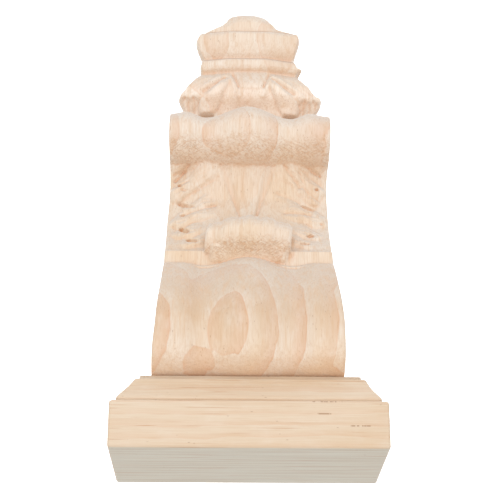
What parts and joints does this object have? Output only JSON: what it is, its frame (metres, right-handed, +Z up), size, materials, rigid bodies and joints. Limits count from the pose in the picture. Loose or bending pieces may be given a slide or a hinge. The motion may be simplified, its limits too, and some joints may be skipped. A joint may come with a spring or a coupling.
{
  "type": "carved corbel",
  "caption": "Small carved wooden corbel: moulded cap over a scrolled bracket with an acanthus leaf, a lower roll and a leafy drop pendant.",
  "frame": {"origin": "centre of the flat back at half the total height, where the corbel meets the wall", "axes": "+Z up towards the cap, +Y into the wall, -Y is the carved front, +X across"},
  "size_m": [0.1, 0.05, 0.205],
  "materials": {
    "cap_wood": "unfinished planed rubberwood, grain across the cap",
    "body_wood": "unfinished machine-carved rubberwood, grain running up and down"
  },
  "bodies": {
    "root": {"cap": "cap_wood", "carved_body": "body_wood"}
  },
  "joints": []
}
